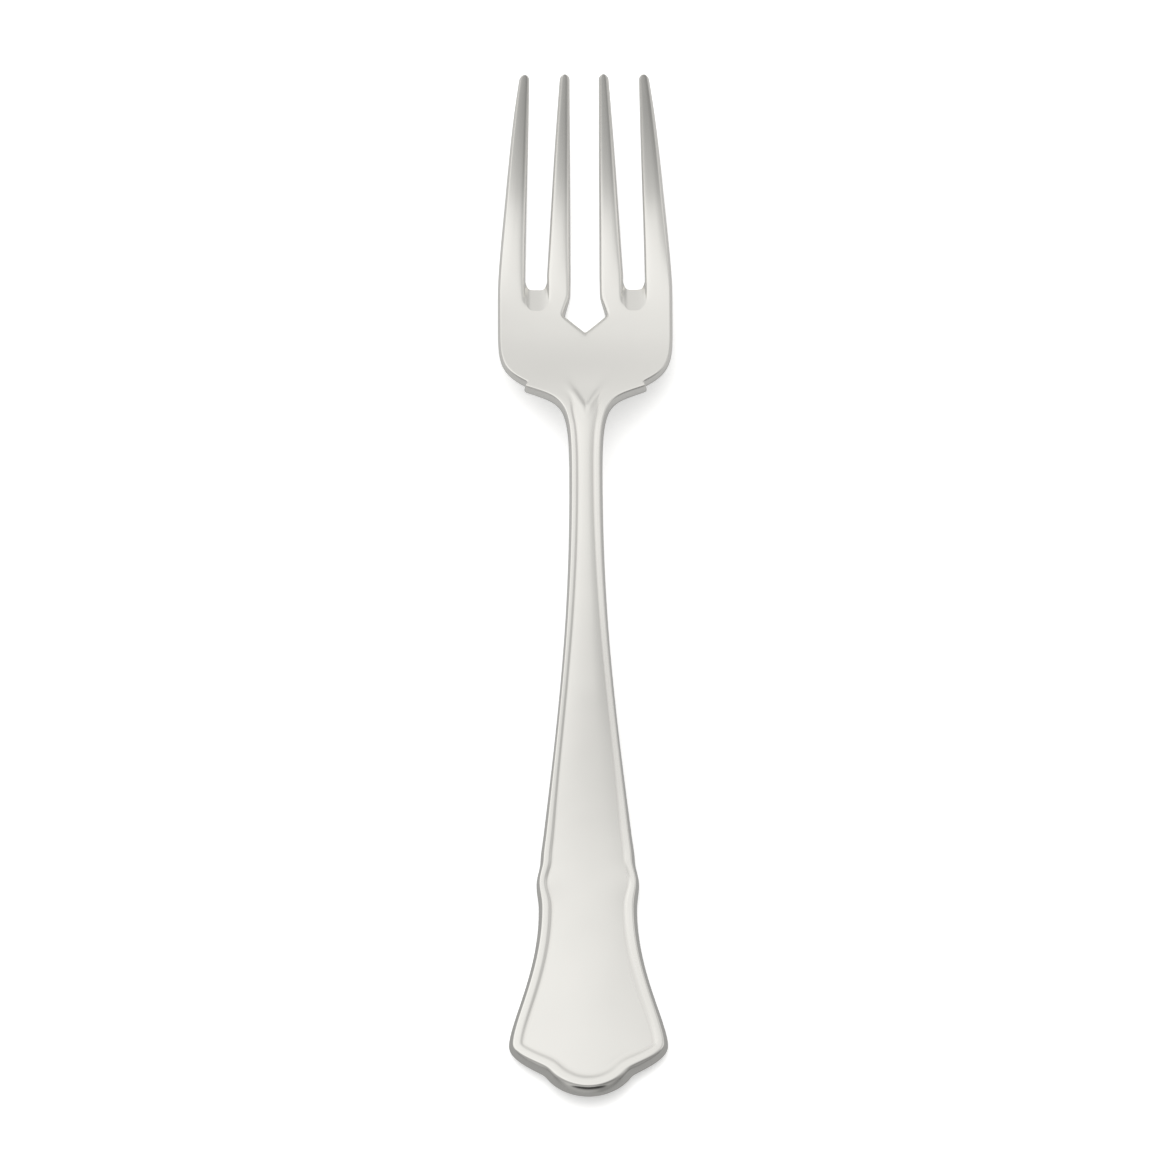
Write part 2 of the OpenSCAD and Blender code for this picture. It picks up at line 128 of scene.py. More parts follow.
middleRootBack = middleRoot + rootSlopeShare["middle"] * fork["spadeSlope"]
halfHead = fork["headWidth"] / 2
halfSpade = fork["spadeWidth"] / 2
halfGap = fork["outerGapWidth"] / 2
halfMiddle = fork["middleGapWidth"] / 2
gapOffset = fork["outerGapOffset"]


# Basic curves
def mix(a, b, t):
    return a + (b - a) * t


def ease(a, b, s):
    t = max(0.0, min(1.0, (s - a) / (b - a)))
    return t * t * (3 - 2 * t)


def heading(degrees):
    return Vector((math.cos(math.radians(degrees)), math.sin(math.radians(degrees))))


def bend(start, angle0, reach0, end, angle1, reach1, t):
    p = start + heading(angle0) * reach0
    q = end - heading(angle1) * reach1
    u = 1 - t
    return start * u ** 3 + p * (3 * u * u * t) + q * (3 * u * t * t) + end * t ** 3


def curve(start, angle0, end, angle1, pull, count):
    span = (end - start).length
    reach0, reach1 = pull[0] * span, pull[1] * span
    return [bend(start, angle0, reach0, end, angle1, reach1, i / count) for i in range(count)]


# A smooth line through stations of place, value and slope
def along(stations, s):
    i = 0
    while i < len(stations) - 2 and s >= stations[i + 1][0]:
        i += 1
    (s0, v0, m0), (s1, v1, m1) = stations[i], stations[i + 1]
    h = s1 - s0
    t = (s - s0) / h
    u = 1 - t
    return v0 * (1 + 2 * t) * u * u + m0 * h * t * u * u + v1 * (3 - 2 * t) * t * t - m1 * h * u * t * t


# Side view: height of the back and thickness of the metal
endSlopes = {"handle": -1.9, "tips": 1.75}  # slopes of the back at its two ends, in mean slopes
backLine = [
    (0.0, fork["endRise"], endSlopes["handle"] * fork["endRise"] / fork["restStart"]),
    (fork["restStart"], 0.0, 0.0),
    (fork["restStart"] + fork["restLength"], 0.0, 0.0),
    (archPlace, fork["archHeight"], 0.0),
    (bellyPlace, 0.0, 0.0),
    (total, fork["tipHeight"], endSlopes["tips"] * fork["tipHeight"] / fork["bellyLength"]),
]
thicknessLine = [
    (0.0, fork["endThickness"], 0.0),
    (fork["waistPlace"], fork["handleThickness"], 0.0),
    (archPlace, fork["neckThickness"], 0.0),
    (middleRoot, fork["bowlThickness"], 0.0),
    (total, fork["tipThickness"], 0.0),
]


def thickness(s):
    return along(thicknessLine, s)


# The bowl is dished, and the row of tine tips is a little arched
tipArch = {
    "share": -0.7,    # in bowl depths
    "reach": 14.0,    # from the start of the tines to where the arch is full
}


def backHeight(x, s):
    toTips = ease(middleRoot, tinePlace + tipArch["reach"], s)
    dish = ease(neckPlace, middleRoot, s) * mix(1.0, tipArch["share"], toTips)
    return along(backLine, s) + fork["bowlDepth"] * dish * (x / halfHead) ** 2


# Pointed hollow at the foot of the bowl, between two low ridges that run out into the bowl
hollowForm = {
    "share": 0.62,           # depth that shows, in hollow depths
    "lower": 0.8,            # its point is drawn out towards the handle
    "ridge": 0.1,
    "ridgeWidth": 0.55,
    "rise": (-2.0, 1.0),     # stretches past the point where the ridges rise and run out
    "fall": (2.0, 7.5),
}


def hollow(x, s):
    past = s - hollowPlace + hollowForm["lower"]
    inside = past * math.tan(math.radians(fork["hollowAngle"])) - abs(x)
    depth = fork["hollowDepth"] * hollowForm["share"] * (1 - ease(0.0, fork["hollowLength"], past))
    ridge = hollowForm["ridge"] * ease(*hollowForm["rise"], past) * (1 - ease(*hollowForm["fall"], past))
    crest = math.exp(-(inside / hollowForm["ridgeWidth"]) ** 2)
    return depth * ease(0.0, fork["hollowSide"], inside) - ridge * crest


# Thread border: rings counted in from the edge
threadBorder = {
    # places of the rings in border widths, and their rounding in thicknesses on the top and the back
    "steps": [0.0, 0.05, 0.13, 0.22, 0.31, 0.42, 0.6, 0.76, 0.86, 0.95, 1.04, 1.13, 1.28],
    "edgeTop": [0.56, 0.42, 0.26, 0.11, 0.012, 0, 0, 0, 0, 0, 0, 0, 0],
    "edgeBack": [0.42, 0.3, 0.17, 0.06, 0.01, 0, 0, 0, 0, 0, 0, 0, 0],
    # share of the step down to the groove, and mark for the finish (painted groove shade and duller
    # roughness): the crest is below 0, the groove above
    "drop": [0, 0, 0, 0, 0, 0, 0, 0.03, 0.3, 0.72, 1.0, 1.0, 1.0],
    "relief": [0, 0, -0.2, -0.6, -1.0, -1.0, -0.6, 0.05, 0.35, 0.8, 1.0, 0.4, 0],
    "step": 0.8,                   # height of the thread above the groove, in reliefs
    "shaftStep": 0.6,              # share of that height on the shaft
    "groove": 1.04,                # step of the groove, where the panel starts to rise
    "crownShare": 0.118,           # rise of the panel to its middle, in half widths
    "crownMost": 0.35,
    "endFall": 0.8,                # fall of the handle end's top towards its shoulders
    "headEdge": 0.64,              # shares of the edge's rounding that are left on the head
    "headBack": 0.7,
    "headReach": 6.0,              # from the lip to where those shares are reached
    # widths of the border along the edge, in end widths, and their slopes
    "shares": {
        "lobe": (1.265, 0.0),
        "cusp": (1.18, -0.06),
        "shoulder": (1.0, 0.0),
        "waist": (0.92, 0.0),
        "knuckle": (0.74, 0.0),
        "ledge": (0.8, -0.01),
        "shaft": (0.61, -0.02),
    },
    "shaftDrop": 14.0,             # from the ledge to the narrow stretch of the border on the shaft
    # how far each ring follows the spread of the border at the foot of the bowl and at the lobe
    "footShare": [0, 0, 0, 0, 0, 0.1, 0.35, 0.6, 0.8, 0.92, 1.0, 1.03, 1.08],
    "lobeShare": [0, 0.25, 0.55, 0.85, 1, 1, 1, 1, 1, 1, 1, 1, 1],
    "lobeSpread": 0.35,            # extra width of the border at the lobe of the handle end
    "footSpread": 0.9,             # how far the groove leaves the edge at the foot of the bowl
    "footRange": (-5.8, -2.6),     # from the lip
    "footReturn": (-2.6, 3.0),
}
borderSteps = threadBorder["steps"]
borderLast = len(borderSteps) - 1

# Places of those widths along the fork
threadPlaces = {
    "lobe": 0.0,
    "cusp": cuspPlace,
    "shoulder": fork["endShoulder"],
    "waist": fork["waistPlace"],
    "knuckle": knucklePlace,
    "ledge": ledgePlace,
    "shaft": ledgePlace + threadBorder["shaftDrop"],
}
threadLine = []
for name, s in threadPlaces.items():
    share, slope = threadBorder["shares"][name]
    threadLine.append((s, share * fork["threadWidthEnd"], slope))
threadLine += [(s, fork["threadWidthNeck"], 0.0) for s in (neckPlace, total)]


def threadWidth(s):
    return along(threadLine, s)


def threadLeft(s):
    return 1 - ease(threadEnd - fork["threadFade"], threadEnd, s)


def ringOffset(s, k):
    start, end = threadBorder["footRange"]
    back, home = threadBorder["footReturn"]
    spread = ease(lipPlace + start, lipPlace + end, s) * (1 - ease(lipPlace + back, lipPlace + home, s))
    foot = threadBorder["footSpread"] * spread * threadBorder["footShare"][k]
    nearLobe = 1 - ease(0.0, fork["endShoulder"], s)
    lobe = threadBorder["lobeSpread"] * nearLobe * threadBorder["lobeShare"][k]
    return threadWidth(s) * borderSteps[k] + foot + lobe


def onHead(s):
    return ease(archPlace, lipPlace + threadBorder["headReach"], s)


def borderThickness(x, s):
    fade = 1 - ease(fork["endShoulder"], fork["waistPlace"], s)
    return thickness(s) - threadBorder["endFall"] * fade * (2 * x / fork["endWidth"]) ** 2


def borderTop(x, s, k):
    edge = threadBorder["edgeTop"][k] * mix(1.0, threadBorder["headEdge"], onHead(s))
    onShaft = ease(knucklePlace, threadPlaces["shaft"], s)
    step = fork["threadRelief"] * threadBorder["step"] * threadLeft(s)
    step *= mix(1.0, threadBorder["shaftStep"], onShaft)
    return backHeight(x, s) + borderThickness(x, s) * (1 - edge) - step * threadBorder["drop"][k]


def borderBack(x, s, k):
    edge = threadBorder["edgeBack"][k] * mix(1.0, threadBorder["headBack"], onHead(s))
    return backHeight(x, s) + borderThickness(x, s) * edge


# The panel of a half width rises from the groove to its crown
def panelCrown(s, wide):
    return min(threadBorder["crownMost"], threadBorder["crownShare"] * wide) * threadLeft(s)


def panelFlank(s, k, wide):
    past = max(0.0, borderSteps[k] - threadBorder["groove"]) * threadWidth(s)
    return 2 * panelCrown(s, wide) / wide * past


def panelTop(x, s, share, wide, rise):
    crown = panelFlank(s, borderLast, wide) + panelCrown(s, wide) * (1 - share * share)
    return borderTop(x, s, borderLast) + crown * rise - hollow(x, s)


# Right edge of the fork as a fine line, from the handle end to the side of the bowl
edgeForm = {
    "fine": 60,            # steps of a stretch of the fine line
    "cornerLift": 0.5,     # how much further up the end shoulder's corner is than in the solids
    "notchLean": 0.125,
    "inset": 0.001,        # how far the last point that is asked for stays inside the line
}
fine = edgeForm["fine"]
cusp = Vector((fork["lobeRadius"] * math.sin(math.radians(fork["lobeAngle"])), cuspPlace))
endCorner = Vector((fork["endWidth"] / 2, fork["endShoulder"] + edgeForm["cornerLift"]))
waist = Vector((fork["waistWidth"] / 2, fork["waistPlace"]))
knuckle = Vector((fork["knuckleWidth"] / 2, knucklePlace))
ledge = Vector((fork["ledgeWidth"] / 2, ledgePlace))
shaft = Vector((fork["shaftWidth"] / 2, shaftPlace))
neckPoint = Vector((fork["neckWidth"] / 2, neckPlace))
lip = Vector((fork["lipWidth"] / 2, lipPlace))
lipTop = lip + fork["notchHeight"] * Vector((edgeForm["notchLean"], 1.0))
bowlSide = Vector((halfHead, widestPlace))
lobeCentre = Vector((0.0, fork["lobeRadius"]))

# End point of each stretch, its headings and pulls at both ends, and its steps
edgeStretches = [
    (endCorner, (30, 90), (0.4, 0.27), fine),
    (waist, (90, 90), (0.177, 0.451), 2 * fine),
    (knuckle, (90, 90), (0.38, 0.332), fine),
    (ledge, (90, 92), (0.395, 0.296), fine),
    (shaft, (92, 97), (0.361, 0.361), fine),
    (neckPoint, (97, 90), (0.419, 0.359), 4 * fine),
    (lip, (90, 23), (0.79, 0.345), 2 * fine),
    (lipTop, (23, 34), (0.66, 0.66), fine),
    (bowlSide, (34, 90), (0.367, 0.55), fine),
]
lobeHeadings = [fork["lobeAngle"] * i / fine - 90 for i in range(fine)]
edgeLine = [lobeCentre + heading(angle) * fork["lobeRadius"] for angle in lobeHeadings]
start = cusp
for end, angles, pull, count in edgeStretches:
    edgeLine += curve(start, angles[0], end, angles[1], pull, count)
    start = end
edgeLine += [Vector((halfHead, mix(widestPlace, outerRootBack, i / fine))) for i in range(fine + 1)]
arcs = [0.0]
for a, b in zip(edgeLine, edgeLine[1:]):
    arcs.append(arcs[-1] + (b - a).length)


def indexAt(arc):
    low, high = 0, len(arcs) - 2
    while low < high:
        middle = (low + high + 1) // 2
        if arcs[middle] <= arc:
            low = middle
        else:
            high = middle - 1
    return low


def edgePoint(arc):
    i = indexAt(arc)
    return edgeLine[i].lerp(edgeLine[i + 1], (arc - arcs[i]) / (arcs[i + 1] - arcs[i]))


def arcNear(target):
    return arcs[min(range(len(edgeLine)), key=lambda i: (edgeLine[i] - target).length)]


# Arc of a place on the straight side of the bowl
def sideArc(s):
    return arcs[-1] - (outerRootBack - s)


notchArc = arcNear(lip)
edgeSmoothing = {
    "window": 1.2,              # length of the edge on each side that sets its direction
    "notchWindow": 4.0,
    "notchReach": (9.0, 3.0),   # distances from the notch at which the longer window starts and is full
    "notchShift": 0.6,
}


# Direction into the metal, smoothed over a short stretch of the edge and over a longer one at the notch
def inward(arc):
    nearNotch = ease(*edgeSmoothing["notchReach"], abs(arc - notchArc - edgeSmoothing["notchShift"]))
    window = mix(edgeSmoothing["window"], edgeSmoothing["notchWindow"], nearNotch)
    a = edgePoint(max(arc - window, 0.0))
    b = edgePoint(min(arc + window, arcs[-1] - edgeForm["inset"]))
    if arc < window:
        a = edgePoint(window - arc)
        a.x = -a.x
    d = (b - a).normalized()
    return Vector((-d.y, d.x))


print("edge line of", round(arcs[-1], 1), "mm")

# Layout of the right half of the sheet: columns run along the fork, rows across it.
# The handle end is the first row, and the grid turns its corner at the end shoulder.
layout = {
    "cornerShare": 0.78,   # place of the grid's corner between the cusp and the end shoulder
    "lobeColumns": 11,     # from the middle to the cusp
    "cornerColumns": 3,    # from the cusp to the border at the corner
    "cornerSpread": 1.1,   # spacing of the border rows at the corner, in border steps
    "bottomPower": 3,      # how late the columns of the handle end lean to the corner
    "leanRows": 16,        # rows past the corner that still lean
    "straightRows": 30,    # rows past the corner that keep some of the handle end's curve
    "slack": 1.2,          # how far those rows sag where the handle widens
    "slackPower": 8,
    "crownRows": 16,       # rows over which the panel's crown rises from the handle end
    "backStart": 3.0,      # from the notch to where the rows of the back start to spread
    "palmBlend": 7.0,      # length over which the columns move to their places on the palm
    "rootRows": 14,        # from the roots of the gaps to the start of the tines
    "tineRows": 26,
    "rootPeak": 0.9,       # how far the roots of the gaps reach past the last row of the palm
    "peakShares": [1.0, 0.81, 0.5],  # shares of that reach in the column of a root and the ones beside it
    "peakRows": 12,        # rows over which the roots start to reach out
    "bendStart": 2.2,      # distance from the lips to the first bent row of the palm
    "bendCurve": 1.7,      # power of that bend
    "tipAngles": [14, 28, 42, 55, 67, 78],  # of the rows round a tip
}
panelLast = layout["lobeColumns"] + layout["cornerColumns"]
columnLast = panelLast + borderLast
cuspArc = arcNear(cusp)
cornerArc = mix(cuspArc, arcNear(endCorner), layout["cornerShare"])
cornerArcs = [layout["cornerSpread"] * (step * fork["threadWidthEnd"]) for step in borderSteps]
bottomEnd = cornerArc - cornerArcs[borderLast]
bottomArcs = [cuspArc * j / layout["lobeColumns"] for j in range(layout["lobeColumns"] + 1)]
for j in range(layout["cornerColumns"]):
    bottomArcs.append(mix(cuspArc, bottomEnd, (j + 1) / layout["cornerColumns"]))

# Arcs of the rows along the side, closer together where the edge turns.
# Each stretch of rows has the arc of a mark, the distance past the mark where it ends, and a spacing.
rowStretches = [
    (arcNear(endCorner), 3.0, 0.6),
    (arcNear(waist), -4.0, 1.15),
    (arcNear(shaft), 2.0, 0.5),
    (arcNear(neckPoint), 0.0, 2.2),
    (notchArc, -8.0, 1.0),
    (notchArc, -0.4, 0.38),
    (notchArc, 1.8, 0.16),
    (notchArc, 5.0, 0.5),
    (sideArc(outerRoot), -layout["rootPeak"], 0.8),
]
sideArcs = [cornerArc + a for a in cornerArcs]
for mark, past, step in rowStretches:
    start, stop = sideArcs[-1], mark + past
    count = max(1, round((stop - start) / step))
    sideArcs += [mix(start, stop, i / count) for i in range(1, count + 1)]
rowLast = len(sideArcs) - 1


# Point of ring k beside a place of the edge
def ringPoint(arc, k):
    e = edgePoint(arc)
    return e + inward(arc) * ringOffset(e.y, k)


def slantedArc(i, k):
    if i <= borderLast:
        return cornerArc + (cornerArcs[i] * (1 - borderSteps[k] / borderSteps[i]) if i else 0.0)
    lean = cornerArcs[borderLast] * borderSteps[k] / borderSteps[borderLast]
    return sideArcs[i] - lean * (1 - ease(borderLast, borderLast + layout["leanRows"], i))


# On the back the rows of the bowl are spread out to reach the root line of the back
def rowArc(i, k, outerFoot):
    arc = slantedArc(i, k)
    start = notchArc + layout["backStart"]
    if arc <= start:
        return arc
    reach = sideArc(outerFoot - layout["rootPeak"]) - start
    return start + (arc - start) * reach / (sideArcs[-1] - start)


def bottomPoint(a, j):
    b = columnLast - j
    if b <= borderLast:
        arc = cornerArc - cornerArcs[b] * (1 - borderSteps[a] / borderSteps[b])
    else:
        shift = cornerArcs[borderLast] * borderSteps[a] / borderSteps[borderLast]
        arc = bottomArcs[j] + shift * (j / panelLast) ** layout["bottomPower"]
    return ringPoint(arc, a)


# Columns of the panel on the palm, in half widths, closer together at the roots of the gaps
gapShare = gapOffset / (halfHead - fork["threadWidthNeck"] * borderSteps[borderLast])
nearGap = 0.0075
besideGap = 0.024
palmShares = [0.0, 0.006, 0.02, 0.1, 0.18, 0.27, 0.36, 0.45]
palmShares += [gapShare - besideGap, gapShare - nearGap, gapShare, gapShare + nearGap, gapShare + besideGap]
palmShares += [0.86, 1.0]
gapColumn = palmShares.index(gapShare)
endRing = [bottomPoint(borderLast, j) for j in range(panelLast + 1)]


# Plan of one row as points, each with its ring, or none on the panel, and its share of the half width.
# The rows of the palm bend to the line that joins the roots of the gaps, with a peak at each root.
def planRow(i, outerFoot, middleFoot):
    row = []
    if i <= borderLast:
        for j in range(columnLast + 1):
            b = columnLast - j
            p = bottomPoint(i, j) if b > i else ringPoint(slantedArc(i, b), b)
            row.append((p, min(i, b), p.x / endRing[panelLast].x))
        return row
    rims = [ringPoint(rowArc(i, k, outerFoot), k) for k in range(borderLast + 1)]
    inner = rims[borderLast]
    straighten = 1 - ease(borderLast, borderLast + layout["straightRows"], i)
    widened = max(0.0, inner.x - endRing[panelLast].x)
    bendPlace = lipPlace + layout["bendStart"]
    toPalm = ease(bendPlace, bendPlace + layout["palmBlend"], inner.y)
    peak = layout["rootPeak"] * ease(rowLast - layout["peakRows"], rowLast, i)
    bent = (inner.y - bendPlace) / (outerFoot - layout["rootPeak"] - bendPlace)
    spine = mix(bendPlace, middleFoot - layout["rootPeak"], bent)
    for j in range(panelLast):
        even = mix(j / panelLast, endRing[j].x / endRing[panelLast].x, straighten)
        share = mix(even, palmShares[j], toPalm)
        y = inner.y + (endRing[j].y - endRing[panelLast].y) * straighten
        y += layout["slack"] * widened * straighten * (1 - (j / panelLast) ** layout["slackPower"])
        if bent > 0 and share < gapShare:
            y = mix(spine, inner.y, (share / gapShare) ** layout["bendCurve"])
        fromRoot = min(j, abs(j - gapColumn))
        if fromRoot < len(layout["peakShares"]):
            y += peak * layout["peakShares"][fromRoot]
        row.append((Vector((inner.x * share, y)), None, share))
    for k in range(borderLast, -1, -1):
        row.append((rims[k], k, 1.0))
    return row


# Cross-sections of the tines, with the crown of their tops, and the roots of the gaps
tineForm = {
    # rounding beside a gap: places in edge roundings and shares of its depth
    "roundSteps": [0.0, 0.35, 1.0],
    "roundShare": [1.0, 0.22, 0.0],
    "edgeTop": 0.36,               # depth of the rounding, in thicknesses
    "edgeBack": 0.3,
    "midSteps": [0.13, 0.32, 0.5, 0.68, 0.87],  # columns across an inner tine
    "outerFull": 1.13,             # tine widths, in their edges' widths, below which those edges shrink
    "innerFull": 1.67,
    "crown": 0.2,                  # fall of a tine's top towards its sides, in thicknesses
    "crownBack": 0.12,
    "crownRange": (-9.0, 9.0),     # from the start of the tines
    "tipRound": 0.55,              # length of the rounded tip, and the power that makes it blunt
    "tipBlunt": 0.45,
    "rootLift": 0.44,              # height of the low edge of the outer roots' ramp, in thicknesses
    "sharpRows": 4,                # rows from the outer roots whose top edges stay sharp
    # outer roots from the middle outwards: share of the half width, height above the root
    "rootTop": [
        (0, 0), (0.18, 0.01), (0.36, 0.05), (0.51, 0.18),
        (0.64, 0.55), (0.76, 1.05), (0.88, 1.6), (0.95, 2.15),
    ],
    "rootBack": [
        (0, 0), (0.22, 0), (0.45, 0.02), (0.62, 0.08),
        (0.74, 0.25), (0.84, 0.55), (0.93, 0.95), (0.985, 1.4),
    ],
    # point of the middle gap: rows from its tip to its corner, then in to the sides of the gap
    "spadeSteps": [0, 0.07, 0.3, 0.55, 0.76, 0.92, 1.0],
    "spadeTurn": 0.45,             # height of the corner
    "spadeNeck": (1.02, 0.645),    # where the sides start: share of the gap's half width and of its height
    "spadeNeckRow": 12,
    "spadeBack": 0.6,              # how much narrower the point is on the back, in bevels
    # chamfer under the point of the middle gap
    "chamferShare": [1.0, 0.65, 0.0],
    "chamferAmount": 0.33,         # its depth, in depths of the rounding
    "chamferRows": (6, 9),         # rows over which it turns into the rounding
    "chamferShift": 0.35,          # how far it draws the point in on the top
    "chamferNarrow": 0.28,
}


# A point in metres, with its mark for the crest or the groove of the thread
def place(p, z, relief=0.0):
    return Vector((p.x * mm, (p.y - total / 2) * mm, z * mm, relief))


# Roots of the outer and middle gaps on the top or the back
def gapFeet(top):
    if top:
        return outerRoot, middleRoot + tineForm["chamferShift"]
    return outerRootBack, middleRootBack


def sheetRow(i, top):
    rise = ease(borderLast, borderLast + layout["crownRows"], i)
    row = planRow(i, *gapFeet(top))
    wide = row[panelLast][0].x
    points = []
    for j, (p, ring, share) in enumerate(row):
        relief = 0.0
        if ring is None:
            z = panelTop(p.x, p.y, share, wide, rise) if top else backHeight(p.x, p.y)
        else:
            flank = panelFlank(p.y, ring, wide) * rise
            z = borderTop(p.x, p.y, ring) + flank if top else borderBack(p.x, p.y, ring)
            if top:
                relief = threadBorder["relief"][ring] * threadLeft(p.y)
        fromRoot = abs(j - gapColumn)
        if i == rowLast and not top and fromRoot < len(tineForm["roundShare"]):
            z += tineForm["rootLift"] * tineForm["roundShare"][fromRoot] * thickness(p.y)
        if i == rowLast and top and j < len(tineForm["chamferShare"]):
            chamfer = tineForm["chamferAmount"] * tineForm["chamferShare"][j]
            z -= chamfer * tineForm["edgeTop"] * thickness(p.y)
        points.append(place(p, z, relief))
    return points


# Sides of the tines and gaps, as distances from the middle of the fork
sideForm = {
    "turn": (0.437, 0.32),               # where the outer side bends: share of its length and of its taper
    "outerSlopes": (-0.03, -0.098, -0.19),
    "gapOutsideSlopes": (-0.012, -0.02),
    "gapInsideSlopes": (-0.06, -0.09),
}
halfTips = fork["tipSpan"] / 2
turnPlace = mix(taperPlace, total, sideForm["turn"][0])
turnWidth = mix(halfHead, halfTips, sideForm["turn"][1])
outerSideLine = [
    (taperPlace, halfHead, sideForm["outerSlopes"][0]),
    (turnPlace, turnWidth, sideForm["outerSlopes"][1]),
    (total, halfTips, sideForm["outerSlopes"][2]),
]
gapOutsideLine = [
    (tinePlace, gapOffset + halfGap, sideForm["gapOutsideSlopes"][0]),
    (total, halfTips - fork["tipWidth"], sideForm["gapOutsideSlopes"][1]),
]
gapInsideLine = [
    (tinePlace, gapOffset - halfGap, sideForm["gapInsideSlopes"][0]),
    (total, halfMiddle + fork["tipWidth"], sideForm["gapInsideSlopes"][1]),
]


def outerSide(s):
    return halfHead if s < taperPlace else along(outerSideLine, s)


def outerGapEdge(k, side, foot, half, top):
    shape = tineForm["rootTop" if top else "rootBack"]
    bent = len(shape) - 1
    share, height = shape[min(k, bent)]
    shoulder = Vector((gapOffset + side * half * share, foot + height))
    if k <= bent:
        return shoulder
    end = Vector((gapOffset + side * halfGap, tinePlace))
    return shoulder.lerp(end, (k - bent) / (layout["rootRows"] - bent))


def middleGapEdge(k, foot, half, wide):
    start = Vector((0.0, foot))
    corner = Vector((half, foot + half))
    turn = Vector((wide, corner.y + tineForm["spadeTurn"]))
    neckShare, neckHeight = tineForm["spadeNeck"]
    neck = Vector((neckShare * halfMiddle, mix(foot, tinePlace, neckHeight)))
    end = Vector((halfMiddle, tinePlace))
    turnRow = len(tineForm["spadeSteps"])
    neckRow = tineForm["spadeNeckRow"]
    if k < turnRow:
        return start.lerp(corner, tineForm["spadeSteps"][k])
    if k <= neckRow:
        return turn.lerp(neck, (k - turnRow) / (neckRow - turnRow))
    return neck.lerp(end, (k - neckRow) / (layout["rootRows"] - neckRow))


def crowned(p, z, across, amount, top):
    start, end = tineForm["crownRange"]
    grow = ease(tinePlace + start, tinePlace + end, p.y) * thickness(p.y) * amount
    drop = (2 * across - 1) ** 2 * grow
    return place(p, z - tineForm["crown"] * drop if top else z + tineForm["crownBack"] * drop)


def gapHeight(p, share, top):
    z = backHeight(p.x, p.y)
    if top:
        return z + thickness(p.y) * (1 - share * tineForm["edgeTop"])
    return z + thickness(p.y) * share * tineForm["edgeBack"]


# Shares of the rounding beside an outer gap.
# At the root the top is sharp, and the back is lifted to the low edge of the ramp.
def gapShares(k, top):
    last = layout["rootRows"]
    lift = tineForm["rootLift"] / tineForm["edgeBack"]
    amount = ease(tineForm["sharpRows"], last, k) if top else mix(lift, 1.0, ease(last / 2, last, k))
    return [amount * share for share in tineForm["roundShare"]]


def spadeShares(k):
    chamfer = 1 - ease(*tineForm["chamferRows"], k)
    amount = mix(1.0, tineForm["chamferAmount"], chamfer)
    pairs = zip(tineForm["roundShare"], tineForm["chamferShare"])
    return [amount * mix(a, b, chamfer) for a, b in pairs]


# Points of the rounding beside a gap: the gap's edge is a point and the direction into the metal
def rounding(gap, scale):
    edge, normal = gap
    return [edge + normal * fork["edgeRound"] * scale * step for step in tineForm["roundSteps"]]


def outerRow(out, gap, shares, scale, amount, top):
    rim = [out - Vector((fork["threadWidthNeck"] * scale * step, 0)) for step in borderSteps]
    side = rounding(gap, scale)
    middle = rim[-1].lerp(side[-1], 0.5)
    heights = [(p, gapHeight(p, share, top)) for p, share in zip(side, shares)]
    heights.append((middle, gapHeight(middle, 0.0, top)))
    for k in range(borderLast, -1, -1):
        p = rim[k]
        heights.append((p, borderTop(p.x, p.y, k) if top else borderBack(p.x, p.y, k)))
    return [crowned(p, z, (p.x - side[0].x) / (out.x - side[0].x), amount, top) for p, z in heights]


def innerRow(middle, gap, spade, shares, scale, amount, top):
    one = rounding(middle, scale)
    two = rounding(gap, scale)
    bowed = mix(layout["bendCurve"], 1.0, amount)
    heights = [(p, gapHeight(p, share, top)) for p, share in zip(one, spade)]
    for t in tineForm["midSteps"]:
        p = one[-1].lerp(two[-1], t)
        p.y = mix(one[-1].y, two[-1].y, t ** bowed)
        heights.append((p, gapHeight(p, 0.0, top)))
    heights += [(p, gapHeight(p, share, top)) for p, share in zip(two[::-1], shares[::-1])]
    return [crowned(p, z, (p.x - one[0].x) / (two[0].x - one[0].x), amount, top) for p, z in heights]


def gapPoint(edge, k, side):
    way = edge(min(k + 1, layout["rootRows"])) - edge(k - 1)
    return edge(k), side * Vector((way.y, -way.x)).normalized()


def rootRows(top):
    foot, middleFoot = gapFeet(top)
    half = halfGap + (fork["rootBevel"] if top else 0.0)
    wide = halfSpade - (0.0 if top else tineForm["spadeBack"] * fork["spadeBevel"])
    middleHalf = wide - (tineForm["chamferNarrow"] if top else 0.0)

    def outsideEdge(k):
        return outerGapEdge(k, 1, foot, half, top)

    def insideEdge(k):
        return outerGapEdge(k, -1, foot, half, top)

    def middleEdge(k):
        return middleGapEdge(k, middleFoot, middleHalf, wide)

    outer, inner = [], []
    for k in range(1, layout["rootRows"] + 1):
        amount = k / layout["rootRows"]
        s = mix(foot - layout["rootPeak"], tinePlace, amount)
        shares = gapShares(k, top)
        out = Vector((outerSide(s), s))
        sides = gapPoint(middleEdge, k, 1), gapPoint(insideEdge, k, -1)
        outer.append(outerRow(out, gapPoint(outsideEdge, k, 1), shares, 1.0, amount, top))
        inner.append(innerRow(*sides, spadeShares(k), shares, 1.0, amount, top))
    return outer, inner


# The two sides of a tine, drawn together to a share of its width
def narrowed(low, high, share):
    middle, half = (low + high) / 2, (high - low) / 2 * share
    return middle - half, middle + half


